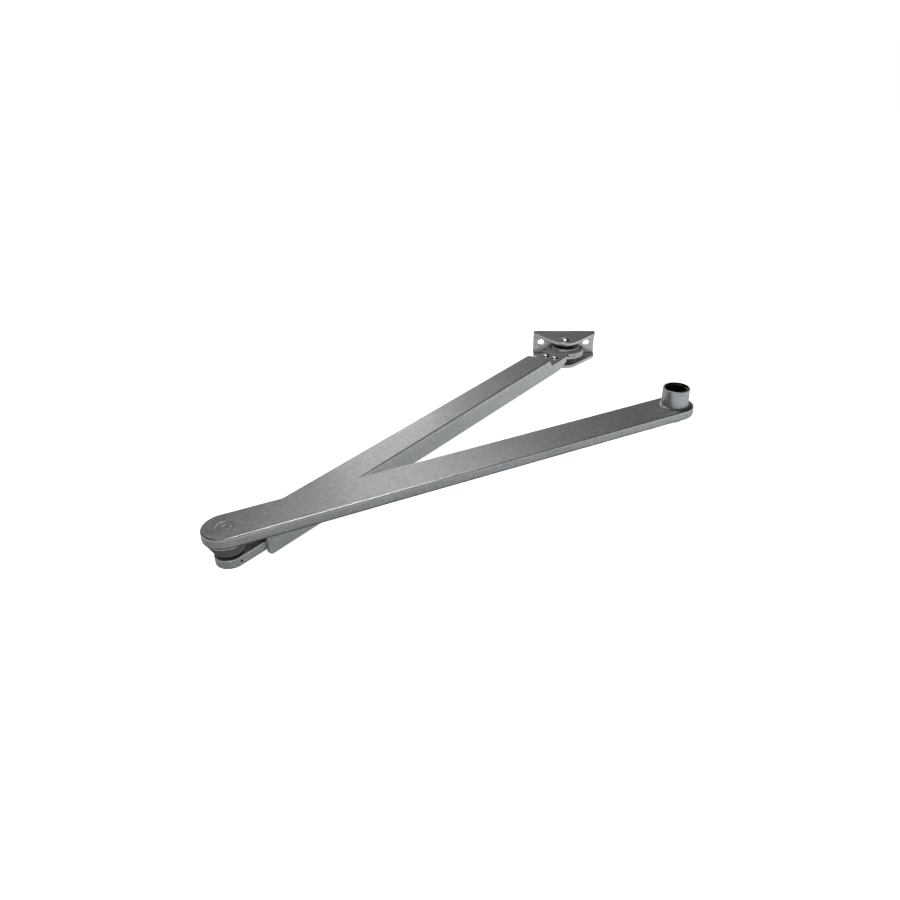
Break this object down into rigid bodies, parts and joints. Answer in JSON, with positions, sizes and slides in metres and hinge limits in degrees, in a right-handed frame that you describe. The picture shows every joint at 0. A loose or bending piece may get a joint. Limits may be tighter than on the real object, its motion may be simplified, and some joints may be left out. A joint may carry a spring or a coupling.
{
  "type": "door closer arm",
  "caption": "Double lever door closer arm: flat main arm with spindle hub, length-adjusting channel forearm, and bent plate shoe that screws to the frame.",
  "frame": {"origin": "on the spindle axis, in the plane of the hub's rim, where the closer's spindle enters the hub", "axes": "+Z along the spindle axis out of the hub's rim; +Y out of the back of the shoe's plate, into the door frame; X along the shoe's plate. The arm lies level at rest, elbow towards -X"},
  "size_m": [0.285, 0.3361, 0.0457],
  "materials": {
    "silver_paint": "fine metallic silver paint, satin",
    "yellow_zinc": "yellow zinc plating, unpainted",
    "zinc_steel": "clear zinc plating",
    "dark_steel": "black oxide, dull",
    "sintered_bronze": "porous bronze, oiled",
    "plated_steel": "satin plated steel"
  },
  "bodies": {
    "main_arm": {"main_arm": "silver_paint", "spindle_socket": "yellow_zinc", "arm_screw": "zinc_steel", "arm_screw_washer": "zinc_steel", "elbow_stud": "silver_paint", "elbow_spacer": "silver_paint", "elbow_thrust_washer": "dark_steel", "elbow_tail_washer": "zinc_steel"},
    "slide": {"forearm_slide": "silver_paint", "elbow_bushing": "sintered_bronze"},
    "forearm": {"forearm_channel": "silver_paint", "nut_plate": "yellow_zinc", "clamp_screw_1": "zinc_steel", "clamp_screw_2": "zinc_steel", "clamp_washer_1": "zinc_steel", "clamp_washer_2": "zinc_steel", "eye_doubler": "silver_paint", "eye_rivet_1": "silver_paint", "eye_rivet_2": "silver_paint", "shoe_bushing": "plated_steel", "shoe_washer": "silver_paint"},
    "shoe": {"shoe_bracket": "silver_paint", "shoe_pin": "silver_paint", "shoe_thrust_ring": "dark_steel", "shoe_lower_spacer": "dark_steel"}
  },
  "joints": [
    {"name": "elbow_pivot", "type": "hinge", "parent": "main_arm", "child": "slide", "pos_m": [-0.25962, -0.15232, -0.0315], "axis": [0, 0, 1], "range_deg": [-21, 139]},
    {"name": "length_adjust", "type": "slide", "parent": "slide", "child": "forearm", "axis": [0.5519, 0.8339, 0], "range_m": [-0.007, 0.05]},
    {"name": "shoe_pivot", "type": "hinge", "parent": "forearm", "child": "shoe", "pos_m": [-0.06246, 0.14555, -0.032], "axis": [0, 0, 1], "range_deg": [-120, 55]}
  ]
}
